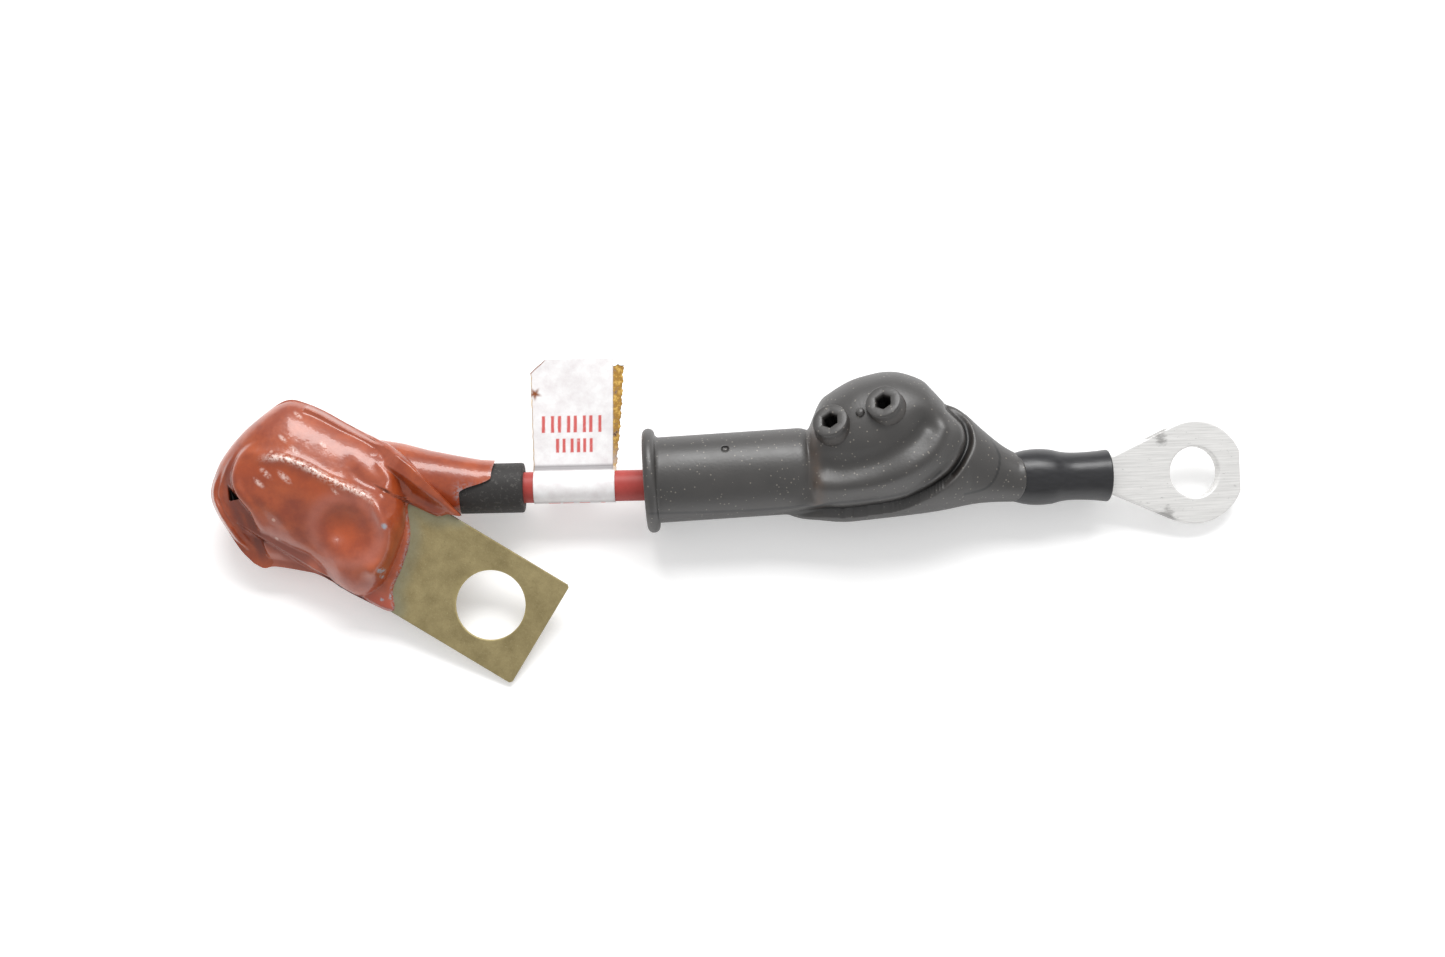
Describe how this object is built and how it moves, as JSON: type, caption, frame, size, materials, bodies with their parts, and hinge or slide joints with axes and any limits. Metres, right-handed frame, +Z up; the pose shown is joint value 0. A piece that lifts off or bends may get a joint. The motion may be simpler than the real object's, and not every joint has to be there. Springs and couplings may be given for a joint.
{
  "type": "fused wire lead",
  "caption": "Short fused battery lead: a dip-coated fuse with a brass eye plate, a red cable with a flag label, a rubber boot and a ring lug.",
  "frame": {"origin": "centre of the footprint box, on the surface that the lead lies on", "axes": "+X along the cable from the fuse to the ring lug, +Y across it towards the flag label, +Z up"},
  "size_m": [0.1968, 0.0595, 0.0277],
  "materials": {
    "ring_terminal": "tinned copper with brushed rolling lines and scuffs",
    "terminal_sleeve": "semi-gloss black heat-shrink",
    "rubber_boot": "dull black moulded rubber, dusty",
    "wire_insulation": "red cable insulation",
    "wire_strands": "bare stranded copper",
    "flag_label": "white label film, stained at its edges",
    "fuse_sleeve": "matt black rubber sleeve",
    "dip_coat": "glossy red-brown dipped skin",
    "terminal_plate": "aged olive-brown brass",
    "fuse_strip": "fusible strip",
    "fuse_block": "insulating block",
    "plate_rivet": "rivet",
    "wire_ferrule": "copper crimp ferrule",
    "ferrule_rivet": "rivet"
  },
  "bodies": {
    "root": {"ring_terminal": "ring_terminal", "terminal_sleeve": "terminal_sleeve", "rubber_boot": "rubber_boot", "wire_insulation": "wire_insulation", "wire_strands": "wire_strands", "flag_label": "flag_label", "fuse_sleeve": "fuse_sleeve", "dip_coat": "dip_coat", "terminal_plate": "terminal_plate", "fuse_strip": "fuse_strip", "fuse_block": "fuse_block", "plate_rivet": "plate_rivet", "wire_ferrule": "wire_ferrule", "ferrule_rivet": "ferrule_rivet"}
  },
  "joints": []
}
